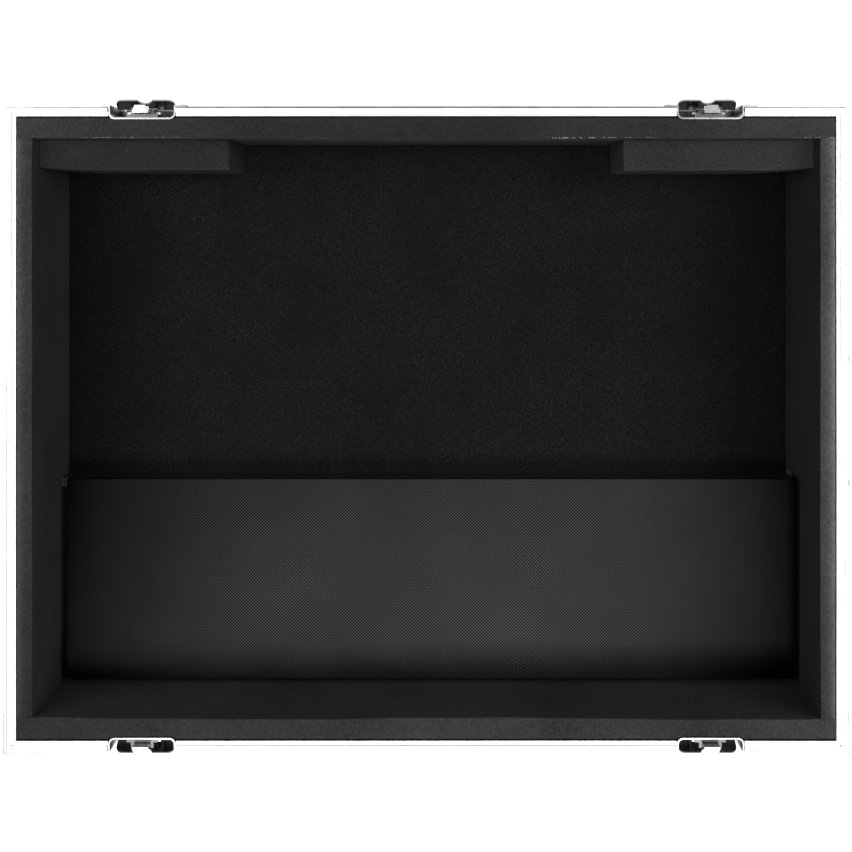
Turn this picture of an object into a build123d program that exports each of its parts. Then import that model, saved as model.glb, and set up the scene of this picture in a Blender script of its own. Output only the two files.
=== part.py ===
"""Open base tray of a mixer flight case: laminated panels in aluminium edges, lined with foam.

Millimetres, +Z up, +X along the long side, +Y towards the back. The origin is on the surface that
the feet stand on, at the middle of the tray. A place on a wall is given as (along, height), with
a depth inward of the wall's outer face.
"""
import math
import os

from build123d import *

# Case
case_length = 810.0
case_width = 622.0
inner_depth = 150.0
panel_thickness = 7.0
foot_height = 17.0
foot_radius = 19.0
foot_tip_radius = 16.5
foot_edge_radius = 1.5
foot_inset = 75.0

# Aluminium edges
angle_wall = 2.0
angle_leg = 30.0
angle_radius = 2.5
rim_leg_outer = 30.0
rim_leg_inner = 18.0
rim_head = 5.0
tongue_setback = 3.5
tongue_width = 3.5
tongue_height = 4.0

# Corners
brace_leg = 37.0
brace_height = 45.0
brace_sheet = 1.2
ball_leg = 50.0
ball_leg_chamfer = 22.0
ball_sheet = 1.5
ball_radius = 13.2
ball_centre = 7.5
sheet_corner_radius = 4.0

# Foam and felt
side_lining = 17.0
end_lining = 23.0
lining_drop = 1.5
mat_thickness = 10.0
block_length = 186.0
block_depth = 30.5
block_wall_depth = 28.0
block_drop = 28.6
block_taper = 46.0

# Step board over the shallow compartment
step_depth = 205.0
step_rise = 41.3
step_thickness = 9.0
step_front_gap = 7.0
step_left_gap = 8.0
step_right_gap = 0.5
riser_thickness = 9.0
cleat_width = 30.0
cleat_inset = 4.0
cleat_front_setback = 20.0
relief_depth = 6.0
relief_height = 64.0
relief_behind_step = 5.5

# Latches
latch_end_gap = 132.0
spindle_drop = 28.0
pan_width = 64.5
pan_height = 61.0
pan_depth = 14.0
pan_sheet = 1.5
pan_floor_radius = 6.0
pan_corner_radius = 10.0
pan_fit = 0.5
flange_margin = 12.0
flange_sheet = 1.5
flange_radius = 6.0
base_width = 30.0
base_drop = 2.0
base_height = 46.0
base_clear = 0.6
cheek_thickness = 3.0
cheek_height = 8.0
cheek_depth = 4.0
hook_sheet = 1.8
hook_bar = 4.0
neck_width = 15.0
neck_clear = 0.4
hook_reach = 10.0
lip_tip_width = 10.0
lip_depth = 1.0
spindle_disc_radius = 7.0
spindle_disc_face = 5.2
spindle_disc_thickness = 1.2
spindle_clear = 0.4
cam_radius = 7.5
cam_throw = 4.0
cam_window_clear = 1.1
cam_side_clear = 0.5
shaft_radius = 3.0
shaft_end_clear = 0.2
running_fit = 0.05
tongue_plate = 4.0
tongue_plate_height = 7.0
tongue_plate_face = 0.6
tongue_plate_radius = 1.0
wing_pin_depth = 2.5
wing_pin_radius = 1.3
wing_pin_reach = 10.2
wing_width = 57.0
wing_height = 15.5
wing_sheet = 1.8
wing_radius = 7.0
wing_waist_radius = 7.0
wing_waist_centre = 17.0
wing_knuckle_radius = 2.4
wing_slot_clear = 0.3
wing_slot_height = 6.0
wing_rest_tilt = 30.0

# Handles
handle_plate_length = 140.0
handle_plate_height = 85.0
handle_plate_sheet = 2.0
handle_plate_radius = 10.0
handle_centre_height = 99.5
handle_pivot_rise = 25.0
bail_span = 100.0
bail_drop = 42.0
bail_radius = 4.0
bail_bend = 9.0
stub_tip = 1.5
ear_thickness = 5.0
ear_gap = 0.5
ear_radius = 6.5
grip_radius = 10.0
grip_clear = 0.6
grip_groove = 1.6
grip_groove_depth = 0.8
grip_groove_pitch = 8.0

# Rivets and screws
rivet_head_radius = 4.7
rivet_head_height = 1.7
rivet_radius = 2.4
rivet_fit = 0.05
rivet_pitch = 110.0
rivet_margin = 12.0
pan_rivet_head_radius = 3.2
pan_rivet_head_height = 1.5
pan_rivet_radius = 1.6
pan_rivet_offset = 23.0
pan_rivet_drop = 12.0
plate_rivet_inset = 12.0
plate_rivet_top_run = 32.0
rim_rivet_drop = 20.0
brace_rivet_setback = 22.0
brace_rivet_edge = 11.0
ball_rivet_far = 35.0
ball_rivet_near = 15.0
screw_head_radius = 6.0
screw_head_height = 4.0
screw_radius = 2.5
screw_seat = 9.0
screw_bore_radius = 7.0
screw_grip = 5.8

# Heights
base_bottom = foot_height - angle_wall
floor_bottom = foot_height
floor_top = floor_bottom + panel_thickness
felt_top = floor_top + mat_thickness
rim_seat = felt_top + inner_depth
wall_top = rim_seat - rim_head
lining_top = rim_seat - lining_drop

# Half sizes across the case
x_out = case_length / 2
y_out = case_width / 2
latch_offset = x_out - latch_end_gap
wall_depth = angle_wall + panel_thickness
rim_width = wall_depth + angle_wall
x_panel = x_out - wall_depth
y_panel = y_out - wall_depth
x_lining = x_panel - side_lining
y_lining = y_panel - end_lining
spindle_height = rim_seat - spindle_drop
flange_face = angle_wall - flange_sheet
pan_bottom = rim_seat - pan_height
flange_width = pan_width + 2 * flange_margin
flange_bottom = pan_bottom - flange_margin
hook_face = spindle_disc_face + spindle_disc_thickness + spindle_clear
base_face = hook_face + hook_sheet + base_clear
handle_face = angle_wall - handle_plate_sheet
pivot_height = handle_centre_height + handle_pivot_rise
bail_depth = handle_face - grip_radius - grip_clear
ear_run = bail_span / 2 + bail_bend + ear_gap

# Step board
step_front = step_front_gap - y_lining
step_back = step_front + step_depth
step_left = step_left_gap - x_lining
step_right = x_lining - step_right_gap
step_top = felt_top + step_rise
step_bottom = step_top - step_thickness

TURNS = {"front": 0, "right": 90, "back": 180, "left": 270}


def outward(side):
    turn = math.radians(TURNS[side])
    return Vector(math.sin(turn), -math.cos(turn), 0)


def along(side):
    turn = math.radians(TURNS[side])
    return Vector(math.cos(turn), math.sin(turn), 0)


def face(side, depth, run=0.0, height=0.0):
    """Plane parallel to a wall: local x along it, local y up, local z outward."""
    reach = y_out if side in ("front", "back") else x_out
    origin = outward(side) * (reach - depth) + along(side) * run + Vector(0, 0, height)
    return Plane(origin=origin, x_dir=along(side), z_dir=outward(side))


def across(side):
    """Plane square to a wall's length: local x outward from the middle, local y up."""
    return Plane(origin=(0, 0, 0), x_dir=outward(side), z_dir=along(side) * -1)


def spread(low, high, pitch):
    """Even places from low to high, no further apart than the pitch."""
    steps = max(1, math.ceil((high - low) / pitch))
    return [low + (high - low) * i / steps for i in range(steps + 1)]


def both(places):
    """Places and their mirror images along a wall."""
    return [(sign * run, height) for run, height in places for sign in (1, -1)]


def flipped(part, plane):
    with BuildPart() as copy:
        mirror(part, about=plane)
    return copy.part


def save(part, name):
    part.label = name
    export_step(part, f"parts/{name}.step")


def save_four(part, name):
    """One corner or latch piece, built at the front right, and its three mirror images."""
    left = flipped(part, Plane.YZ)
    save(part, f"{name}_front_right")
    save(left, f"{name}_front_left")
    save(flipped(part, Plane.XZ), f"{name}_back_right")
    save(flipped(left, Plane.XZ), f"{name}_back_left")


# Rivet places on a wall, as (along, height)
rim_rivet_height = rim_seat - rim_rivet_drop
foot_rivet_height = base_bottom + angle_leg / 2
upright_low = base_bottom + ball_leg + rivet_margin
upright_high = rim_seat - brace_height - rivet_margin


def corner_rivets(reach):
    """Rivets of the upright, the brace and the ball corner at both ends of a wall."""
    uprights = [(reach - angle_leg / 2, height) for height in (upright_low, upright_high)]
    braces = [
        (reach - brace_rivet_setback, rim_seat - drop)
        for drop in (brace_rivet_edge, brace_height - brace_rivet_edge)
    ]
    balls = [
        (reach - ball_rivet_far, base_bottom + ball_rivet_near),
        (reach - ball_rivet_near, base_bottom + ball_rivet_far),
    ]
    return [(0, both(uprights)), (-brace_sheet, both(braces)), (-ball_sheet, both(balls))]


def front_rivets():
    """(depth of the face under the heads, places) of each row on a long wall."""
    bottom_reach = x_out - ball_leg - rivet_margin
    rim_reach = latch_offset - flange_width / 2 - rivet_margin
    outer_run = (latch_offset + flange_width / 2 + x_out - brace_leg) / 2
    flange_run = (pan_width + flange_margin) / 2
    flange = [
        (latch_offset + side * flange_run, height)
        for side in (1, -1)
        for height in (rim_seat - rivet_margin, pan_bottom + rivet_margin)
    ]
    flange += [
        (latch_offset + side * flange_run / 2, pan_bottom - flange_margin / 2) for side in (1, -1)
    ]
    return corner_rivets(x_out) + [
        (0, [(run, foot_rivet_height) for run in spread(-bottom_reach, bottom_reach, rivet_pitch)]),
        (0, [(run, rim_rivet_height) for run in spread(-rim_reach, rim_reach, rivet_pitch)]),
        (0, both([(outer_run, rim_rivet_height)])),
        (flange_face, both(flange)),
    ]


def right_rivets():
    bottom_reach = y_out - ball_leg - rivet_margin
    rim_reach = y_out - brace_leg - rivet_margin
    half_height = handle_plate_height / 2 - plate_rivet_inset
    plate = [
        (plate_rivet_top_run, handle_centre_height + half_height),
        (handle_plate_length / 2 - plate_rivet_inset, handle_centre_height - half_height),
    ]
    return corner_rivets(y_out) + [
        (0, [(run, foot_rivet_height) for run in spread(-bottom_reach, bottom_reach, rivet_pitch)]),
        (0, [(run, rim_rivet_height) for run in spread(-rim_reach, rim_reach, rivet_pitch)]),
        (handle_face, both(plate)),
    ]


PAN_RIVETS = both(
    [(latch_offset + sign * pan_rivet_offset, rim_seat - pan_rivet_drop) for sign in (1, -1)]
)
RIVETS = {"front": front_rivets(), "right": right_rivets()}
RIVETS["back"] = RIVETS["front"]
RIVETS["left"] = RIVETS["right"]


def drill(side):
    """Every rivet hole of a wall, as one cutter."""
    with BuildPart() as cutter:
        with BuildSketch(face(side, wall_depth)):
            for _, places in RIVETS[side]:
                with Locations(*places):
                    Circle(rivet_radius + rivet_fit)
        extrude(amount=wall_depth + ball_radius)
    return cutter.part


FRONT_DRILL = drill("front")
RIGHT_DRILL = drill("right")


def bottom_panel():
    with BuildPart() as panel:
        with BuildSketch(Plane.XY.offset(floor_bottom)):
            Rectangle(2 * (x_out - angle_wall), 2 * (y_out - angle_wall))
        extrude(amount=panel_thickness)
        with BuildSketch(Plane.XY.offset(floor_bottom)):
            with Locations(*foot_places()):
                Circle(screw_radius + rivet_fit)
        extrude(amount=screw_grip + rivet_fit, mode=Mode.SUBTRACT)
    return panel.part


def front_panel():
    with BuildPart() as panel:
        with BuildSketch(face("front", wall_depth)):
            with Locations((0, (floor_top + wall_top) / 2)):
                Rectangle(2 * (x_out - angle_wall), wall_top - floor_top)
            with Locations(*both([(latch_offset, rim_seat)])):
                Rectangle(pan_width + 2 * pan_fit, 2 * (pan_height + pan_fit), mode=Mode.SUBTRACT)
        extrude(amount=panel_thickness)
        add(FRONT_DRILL, mode=Mode.SUBTRACT)
    return panel.part


def right_panel():
    with BuildPart() as panel:
        with BuildSketch(face("right", wall_depth)):
            with Locations((0, (floor_top + wall_top) / 2)):
                Rectangle(2 * y_panel, wall_top - floor_top)
        extrude(amount=panel_thickness)
        add(RIGHT_DRILL, mode=Mode.SUBTRACT)
    return panel.part


def rim(side, reach, other):
    """Rim extrusion: a channel over the panel's top edge, a seat and a tongue for the lid."""
    head_bottom = rim_seat - rim_head
    tongue_out = reach - tongue_setback
    tongue_in = tongue_out - tongue_width
    with BuildPart() as bar:
        with BuildSketch(across(side)):
            with BuildLine():
                Polyline(
                    (reach, rim_seat - rim_leg_outer),
                    (reach, rim_seat),
                    (tongue_out, rim_seat),
                    (tongue_out, rim_seat + tongue_height),
                    (tongue_in, rim_seat + tongue_height),
                    (tongue_in, rim_seat),
                    (reach - rim_width, rim_seat),
                    (reach - rim_width, rim_seat - rim_leg_inner),
                    (reach - wall_depth, rim_seat - rim_leg_inner),
                    (reach - wall_depth, head_bottom),
                    (reach - angle_wall, head_bottom),
                    (reach - angle_wall, rim_seat - rim_leg_outer),
                    close=True,
                )
            make_face()
        extrude(amount=other, both=True)
        with BuildSketch(Plane(origin=(0, 0, 0), x_dir=along(side), z_dir=(0, 0, 1))):
            with BuildLine():
                Polyline(
                    (other - rim_width, rim_width - reach),
                    (other, -reach),
                    (-other, -reach),
                    (rim_width - other, rim_width - reach),
                    close=True,
                )
            make_face()
        extrude(amount=rim_seat + tongue_height, mode=Mode.INTERSECT)
    return bar.part


def front_rim():
    """The long rim, cut away where the latch pans stand and thinned behind their flanges."""
    with BuildPart() as bar:
        add(rim("front", y_out, x_out))
        with BuildSketch(face("front", rim_width)):
            with Locations(*both([(latch_offset, rim_seat)])):
                Rectangle(pan_width + 2 * pan_fit, 2 * rim_leg_outer)
        extrude(amount=rim_width, mode=Mode.SUBTRACT)
        with BuildSketch(face("front", angle_wall)):
            with Locations(*both([(latch_offset, rim_seat)])):
                Rectangle(flange_width + 2 * pan_fit, 2 * rim_leg_outer)
        extrude(amount=angle_wall, mode=Mode.SUBTRACT)
        add(FRONT_DRILL, mode=Mode.SUBTRACT)
    return bar.part


def right_rim():
    with BuildPart() as bar:
        add(rim("right", x_out, y_out))
        add(RIGHT_DRILL, mode=Mode.SUBTRACT)
    return bar.part


def corner_angle():
    """Upright angle at the front right, between the bottom angles and the rim."""
    bottom = base_bottom + angle_wall
    with BuildPart() as angle:
        with BuildSketch(Plane.XY.offset(bottom)):
            with Locations((x_out, -y_out)):
                Rectangle(angle_leg, angle_leg, align=(Align.MAX, Align.MIN))
            with Locations((x_out - angle_wall, angle_wall - y_out)):
                Rectangle(angle_leg, angle_leg, align=(Align.MAX, Align.MIN), mode=Mode.SUBTRACT)
        extrude(amount=rim_seat - rim_leg_outer - bottom)
        outer = angle.edges().filter_by(Axis.Z).sort_by(Axis.X)[-2:].sort_by(Axis.Y)[0]
        fillet(outer, radius=angle_radius)
        add(FRONT_DRILL, mode=Mode.SUBTRACT)
        add(RIGHT_DRILL, mode=Mode.SUBTRACT)
    return angle.part


def bottom_angle(side, reach, half_run):
    with BuildPart() as angle:
        with BuildSketch(across(side)):
            with Locations((reach, base_bottom)):
                Rectangle(angle_leg, angle_leg, align=(Align.MAX, Align.MIN))
            with Locations((reach - angle_wall, base_bottom + angle_wall)):
                Rectangle(angle_leg, angle_leg, align=(Align.MAX, Align.MIN), mode=Mode.SUBTRACT)
        extrude(amount=half_run, both=True)
    return angle.part


def front_bottom_angle():
    """Bottom angle under a long wall; its upright leg stops at the corner angles."""
    with BuildPart() as angle:
        add(bottom_angle("front", y_out, x_out))
        with BuildSketch(face("front", angle_wall)):
            with Locations(*both([(x_out, base_bottom + angle_wall + angle_leg / 2)])):
                Rectangle(2 * angle_leg, angle_leg)
        extrude(amount=angle_wall, mode=Mode.SUBTRACT)
        add(FRONT_DRILL, mode=Mode.SUBTRACT)
    return angle.part


def right_bottom_angle():
    with BuildPart() as angle:
        add(bottom_angle("right", x_out, y_out - angle_leg))
        add(RIGHT_DRILL, mode=Mode.SUBTRACT)
    return angle.part


def corner_brace():
    """Bent plate that wraps the rim's mitre at the front right."""
    side = brace_leg + brace_sheet
    with BuildPart() as brace:
        with BuildSketch(Plane.XY.offset(rim_seat - brace_height)):
            with Locations((x_out + brace_sheet, -y_out - brace_sheet)):
                Rectangle(side, side, align=(Align.MAX, Align.MIN))
            with Locations((x_out, -y_out)):
                Rectangle(side, side, align=(Align.MAX, Align.MIN), mode=Mode.SUBTRACT)
        extrude(amount=brace_height)
        short = brace.edges().group_by(Axis.Z)[0].filter_by(lambda edge: edge.length < 2 * brace_sheet)
        fillet(short, radius=sheet_corner_radius)
        add(FRONT_DRILL, mode=Mode.SUBTRACT)
        add(RIGHT_DRILL, mode=Mode.SUBTRACT)
    return brace.part


def ball_corner():
    """Three plates on the case's corner and the ball over their meeting point."""
    corner = (x_out, -y_out, base_bottom)
    legs = [
        Plane(origin=corner, x_dir=(-1, 0, 0), z_dir=(0, 1, 0)),
        Plane(origin=corner, x_dir=(0, 0, 1), z_dir=(-1, 0, 0)),
        Plane(origin=corner, x_dir=(0, 1, 0), z_dir=(0, 0, 1)),
    ]
    with BuildPart() as cap:
        for leg in legs:
            with BuildSketch(leg):
                with BuildLine():
                    Polyline(
                        (-ball_sheet, -ball_sheet),
                        (ball_leg, -ball_sheet),
                        (ball_leg, ball_leg - ball_leg_chamfer),
                        (ball_leg - ball_leg_chamfer, ball_leg),
                        (-ball_sheet, ball_leg),
                        close=True,
                    )
                make_face()
            extrude(amount=-ball_sheet)
        with Locations((x_out - ball_centre, ball_centre - y_out, base_bottom + ball_centre)):
            Sphere(ball_radius)
        with BuildSketch(Plane.XY.offset(base_bottom)):
            with Locations((x_out, -y_out)):
                Rectangle(2 * ball_leg, 2 * ball_leg, align=(Align.MAX, Align.MIN))
        extrude(amount=2 * ball_leg, mode=Mode.SUBTRACT)
        add(FRONT_DRILL, mode=Mode.SUBTRACT)
        add(RIGHT_DRILL, mode=Mode.SUBTRACT)
    return cap.part


def end_foam():
    """Front lining, notched for the rim's inner leg and for the latch pans."""
    with BuildPart() as foam:
        with BuildSketch(across("front")):
            with Locations((y_panel, floor_top)):
                Rectangle(end_lining, lining_top - floor_top, align=(Align.MAX, Align.MIN))
            with Locations((y_panel, rim_seat)):
                Rectangle(2 * angle_wall, 2 * rim_leg_inner, mode=Mode.SUBTRACT)
        extrude(amount=x_panel, both=True)
        with BuildSketch(face("front", pan_depth + pan_fit)):
            with Locations(*both([(latch_offset, rim_seat)])):
                Rectangle(pan_width + 2 * pan_fit, 2 * (pan_height + pan_fit))
        extrude(amount=pan_depth, mode=Mode.SUBTRACT)
        with BuildSketch(face("front", wall_depth + end_lining)):
            with Locations(*both([(x_panel, rim_seat)])):
                Rectangle(2 * angle_wall, 2 * rim_leg_inner)
        extrude(amount=end_lining, mode=Mode.SUBTRACT)
    return foam.part


def side_foam():
    with BuildPart() as foam:
        with BuildSketch(across("right")):
            with Locations((x_panel, floor_top)):
                Rectangle(side_lining, lining_top - floor_top, align=(Align.MAX, Align.MIN))
            with Locations((x_panel, rim_seat)):
                Rectangle(2 * angle_wall, 2 * rim_leg_inner, mode=Mode.SUBTRACT)
        extrude(amount=y_lining, both=True)
    return foam.part


def relieved_foam():
    """Right lining, hollowed beside the step board's end."""
    behind = step_back + relief_behind_step
    with BuildPart() as foam:
        add(side_foam())
        with BuildSketch(face("right", x_out - x_lining)):
            with Locations((-y_lining, felt_top)):
                Rectangle(y_lining + behind, relief_height, align=(Align.MIN, Align.MIN))
        extrude(amount=relief_depth, mode=Mode.SUBTRACT)
    return foam.part


def corner_block():
    """Foam block in the back right corner, a little thinner where it meets the side lining."""
    with BuildPart() as block:
        with BuildSketch(Plane.XY.offset(felt_top)):
            with BuildLine():
                Polyline(
                    (x_lining, y_lining),
                    (x_lining - block_length, y_lining),
                    (x_lining - block_length, y_lining - block_depth),
                    (x_lining - block_taper, y_lining - block_depth),
                    (x_lining, y_lining - block_wall_depth),
                    close=True,
                )
            make_face()
        extrude(amount=rim_seat - block_drop - felt_top)
    return block.part


def floor_mat():
    with BuildPart() as mat:
        with BuildSketch(Plane.XY.offset(floor_top)):
            Rectangle(2 * x_lining, 2 * y_lining)
        extrude(amount=mat_thickness)
    return mat.part


def step_board():
    with BuildPart() as board:
        with BuildSketch(Plane.XY.offset(step_bottom)):
            with Locations((step_left, step_front)):
                Rectangle(step_right - step_left, step_depth, align=(Align.MIN, Align.MIN))
        extrude(amount=step_thickness)
    return board.part


def step_riser():
    with BuildPart() as riser:
        with BuildSketch(Plane.XY.offset(felt_top)):
            with Locations((0, step_back)):
                Rectangle(2 * x_lining, riser_thickness, align=(Align.CENTER, Align.MAX))
        extrude(amount=step_bottom - felt_top)
    return riser.part


def step_cleats():
    """Battens under both ends of the step board."""
    length = step_depth - riser_thickness - cleat_front_setback
    with BuildPart() as cleats:
        with BuildSketch(Plane.XY.offset(felt_top)):
            with Locations((step_left + cleat_inset, step_front + cleat_front_setback)):
                Rectangle(cleat_width, length, align=(Align.MIN, Align.MIN))
            with Locations((step_right - cleat_inset, step_front + cleat_front_setback)):
                Rectangle(cleat_width, length, align=(Align.MAX, Align.MIN))
        extrude(amount=step_bottom - felt_top)
    return cleats.part


def latch(depth):
    """Plane at the front right latch, with its origin on the spindle's axis."""
    return face("front", depth, latch_offset, spindle_height)


def pan_block(inset):
    """Outside of a latch pan, or its hollow when inset by the sheet."""
    depth = pan_depth - inset
    width = pan_width - 2 * inset
    bottom = pan_bottom + inset - spindle_height
    top = spindle_drop + inset
    with BuildPart() as block:
        with BuildSketch(latch(depth)):
            with Locations((0, bottom)):
                Rectangle(width, top - bottom, align=(Align.CENTER, Align.MIN))
        extrude(amount=depth - flange_face)
        bottom_corners = block.edges().filter_by(Axis.Y).group_by(Axis.Z)[0]
        fillet(bottom_corners, radius=pan_corner_radius - inset)
        floor_edges = block.faces().sort_by(Axis.Y)[-1].edges().sort_by(Axis.Z)[:-1]
        fillet(floor_edges, radius=pan_floor_radius - inset)
    return block.part


def latch_dish():
    """Pressed pan with its flange, the mechanism's base and the two cheeks that guide the hook."""
    outside = pan_block(0)
    hollow = pan_block(pan_sheet)
    floor = pan_depth - pan_sheet
    cheek_place = neck_width / 2 + neck_clear + cheek_thickness / 2
    with BuildPart() as dish:
        add(outside)
        with BuildSketch(latch(angle_wall)):
            with Locations((0, flange_bottom - spindle_height)):
                Rectangle(flange_width, rim_seat - flange_bottom, align=(Align.CENTER, Align.MIN))
        extrude(amount=flange_sheet)
        flange_corners = dish.edges().filter_by(Axis.Y).group_by(Axis.Z)[0]
        fillet(flange_corners, radius=flange_radius)
        add(hollow, mode=Mode.SUBTRACT)
        with BuildSketch(latch(floor)):
            with Locations((0, spindle_drop - base_drop)):
                Rectangle(base_width, base_height, align=(Align.CENTER, Align.MAX))
            Circle(shaft_radius + running_fit, mode=Mode.SUBTRACT)
        extrude(amount=floor - base_face)
        with BuildSketch(latch(floor)):
            with Locations(*[(sign * cheek_place, spindle_drop - base_drop) for sign in (1, -1)]):
                Rectangle(cheek_thickness, cheek_height, align=(Align.CENTER, Align.MAX))
        extrude(amount=floor - cheek_depth)
        with BuildSketch(face("front", pan_depth)):
            with Locations(*PAN_RIVETS):
                Circle(pan_rivet_radius + rivet_fit)
        extrude(amount=pan_sheet, mode=Mode.SUBTRACT)
        add(FRONT_DRILL, mode=Mode.SUBTRACT)
    return dish.part


def latch_hook():
    """Sliding plate with the cam's window, a neck between the cheeks and a bent lip on top."""
    window_centre = cam_throw
    half_window = cam_radius + cam_window_clear
    window_side = cam_throw + cam_radius + cam_side_clear
    bottom = window_centre - half_window - hook_bar
    shoulder = window_centre + half_window + hook_bar
    top = spindle_drop + hook_reach
    lip_width = neck_width / 2
    tip_width = lip_tip_width / 2
    lip_back = -(y_out - hook_face)
    lip_front = -(y_out - lip_depth)
    with BuildPart() as hook:
        with BuildSketch(latch(hook_face + hook_sheet)):
            with Locations((0, bottom)):
                Rectangle(2 * (window_side + hook_bar), shoulder - bottom, align=(Align.CENTER, Align.MIN))
            with Locations((0, shoulder)):
                Rectangle(neck_width, top - shoulder, align=(Align.CENTER, Align.MIN))
            with Locations((0, window_centre)):
                Rectangle(2 * window_side, 2 * half_window, mode=Mode.SUBTRACT)
        extrude(amount=hook_sheet)
        with BuildSketch(Plane.XY.offset(spindle_height + top - hook_sheet)):
            with BuildLine():
                Polyline(
                    (latch_offset - lip_width, lip_back),
                    (latch_offset + lip_width, lip_back),
                    (latch_offset + tip_width, lip_front),
                    (latch_offset - tip_width, lip_front),
                    close=True,
                )
            make_face()
        extrude(amount=hook_sheet)
    return hook.part


def wing_pin(radius, reach, gap):
    """Two coaxial stubs on the wing's fold axis, from gap to reach on each side."""
    with BuildPart() as stubs:
        for sign in (1, -1):
            start = face("front", wing_pin_depth, latch_offset + sign * gap, spindle_height).origin
            with BuildSketch(Plane(origin=start, x_dir=(0, 0, 1), z_dir=(sign, 0, 0))):
                Circle(radius)
            extrude(amount=reach - gap)
    return stubs.part


def latch_spindle():
    """Shaft, cam and disc, with the plate and pin that carry the wing."""
    pins = wing_pin(wing_pin_radius, wing_pin_reach, tongue_plate / 2)
    shaft_end = pan_depth - pan_sheet - shaft_end_clear
    cam_back = hook_face + hook_sheet + spindle_clear
    disc_back = spindle_disc_face + spindle_disc_thickness
    with BuildPart() as spindle:
        with BuildSketch(latch(shaft_end)):
            Circle(shaft_radius)
        extrude(amount=shaft_end - disc_back)
        with BuildSketch(latch(cam_back)):
            with Locations((0, cam_throw)):
                Circle(cam_radius)
        extrude(amount=cam_back - disc_back)
        with BuildSketch(latch(disc_back)):
            Circle(spindle_disc_radius)
        extrude(amount=spindle_disc_thickness)
        with BuildSketch(latch(spindle_disc_face)):
            RectangleRounded(tongue_plate, tongue_plate_height, radius=tongue_plate_radius)
        extrude(amount=spindle_disc_face - tongue_plate_face)
        add(pins)
    return spindle.part


def latch_wing():
    """Folding wing on the spindle's pin, leaning outward as it stands when the latch is open."""
    lean = math.radians(wing_rest_tilt)
    pivot = latch(wing_pin_depth).origin
    slot_half = tongue_plate / 2 + wing_slot_clear
    knuckles = wing_pin(wing_knuckle_radius, wing_pin_reach, slot_half)
    bores = wing_pin(wing_pin_radius + running_fit, wing_pin_reach + running_fit, 0)
    leaning = Plane(origin=pivot, x_dir=(1, 0, 0), z_dir=(0, -math.cos(lean), -math.sin(lean)))
    with BuildPart() as wing:
        with BuildSketch(leaning.offset(-wing_sheet / 2)) as outline:
            Rectangle(wing_width, wing_height, align=(Align.CENTER, Align.MIN))
            fillet(outline.vertices().group_by(Axis.Y)[-1], radius=wing_radius)
            with Locations((0, wing_waist_centre)):
                Circle(wing_waist_radius, mode=Mode.SUBTRACT)
            Rectangle(
                2 * slot_half, wing_slot_height, align=(Align.CENTER, Align.MIN), mode=Mode.SUBTRACT
            )
        extrude(amount=wing_sheet)
        add(knuckles)
        add(bores, mode=Mode.SUBTRACT)
    return wing.part


def handle_plate():
    """Right handle's plate with the two ears that hold the bail."""
    with BuildPart() as plate:
        with BuildSketch(face("right", angle_wall, 0, handle_centre_height)):
            RectangleRounded(handle_plate_length, handle_plate_height, radius=handle_plate_radius)
        extrude(amount=handle_plate_sheet)
        for start in (ear_run, -ear_run - ear_thickness):
            with BuildSketch(across("right").offset(start)):
                with Locations((x_out - handle_face, pivot_height)):
                    Rectangle(handle_face - bail_depth, 2 * ear_radius, align=(Align.MIN, Align.CENTER))
                with Locations((x_out - bail_depth, pivot_height)):
                    Circle(ear_radius)
                    Circle(bail_radius + running_fit, mode=Mode.SUBTRACT)
            extrude(amount=ear_thickness)
        add(RIGHT_DRILL, mode=Mode.SUBTRACT)
    return plate.part


def handle_bail():
    """Bent rod that hangs from the ears."""
    half = bail_span / 2
    tip = ear_run + ear_thickness + stub_tip
    with BuildPart() as bail:
        with BuildLine(face("right", bail_depth, 0, pivot_height)) as path:
            FilletPolyline(
                (-tip, 0),
                (-half, 0),
                (-half, -bail_drop),
                (half, -bail_drop),
                (half, 0),
                (tip, 0),
                radius=bail_bend,
            )
        with BuildSketch(Plane(origin=path.line @ 0, z_dir=path.line % 0)):
            Circle(bail_radius)
        sweep()
    return bail.part


def handle_grip():
    """Rubber sleeve on the bail's lower bar, with shallow finger grooves."""
    length = bail_span - 2 * bail_bend - 2 * ear_gap
    grooves = spread(grip_groove - length / 2, length / 2 - grip_groove, grip_groove_pitch)
    with BuildPart() as grip:
        with BuildSketch(across("right")):
            with Locations((x_out - bail_depth, pivot_height - bail_drop)):
                Circle(grip_radius)
        extrude(amount=length / 2, both=True)
        fillet(grip.edges().filter_by(GeomType.CIRCLE), radius=grip_groove)
        for run in grooves:
            with BuildSketch(across("right").offset(run - grip_groove / 2)):
                with Locations((x_out - bail_depth, pivot_height - bail_drop)):
                    Circle(grip_radius + grip_groove)
                    Circle(grip_radius - grip_groove_depth, mode=Mode.SUBTRACT)
            extrude(amount=grip_groove, mode=Mode.SUBTRACT)
        with BuildSketch(across("right")):
            with Locations((x_out - bail_depth, pivot_height - bail_drop)):
                Circle(bail_radius + running_fit)
        extrude(amount=length, both=True, mode=Mode.SUBTRACT)
    return grip.part


def foot_places():
    run, side = x_out - foot_inset, y_out - foot_inset
    return [(run, side), (-run, side), (-run, -side), (run, -side)]


def rubber_foot():
    with BuildPart() as foot:
        with BuildSketch(Plane.XY):
            Circle(foot_tip_radius)
        with BuildSketch(Plane.XY.offset(foot_height)):
            Circle(foot_radius)
        loft()
        fillet(foot.edges().group_by(Axis.Z)[0], radius=foot_edge_radius)
        with BuildSketch(Plane.XY):
            Circle(screw_bore_radius)
        extrude(amount=screw_seat, mode=Mode.SUBTRACT)
        with BuildSketch(Plane.XY):
            Circle(screw_radius + rivet_fit)
        extrude(amount=foot_height, mode=Mode.SUBTRACT)
    return foot.part


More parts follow.
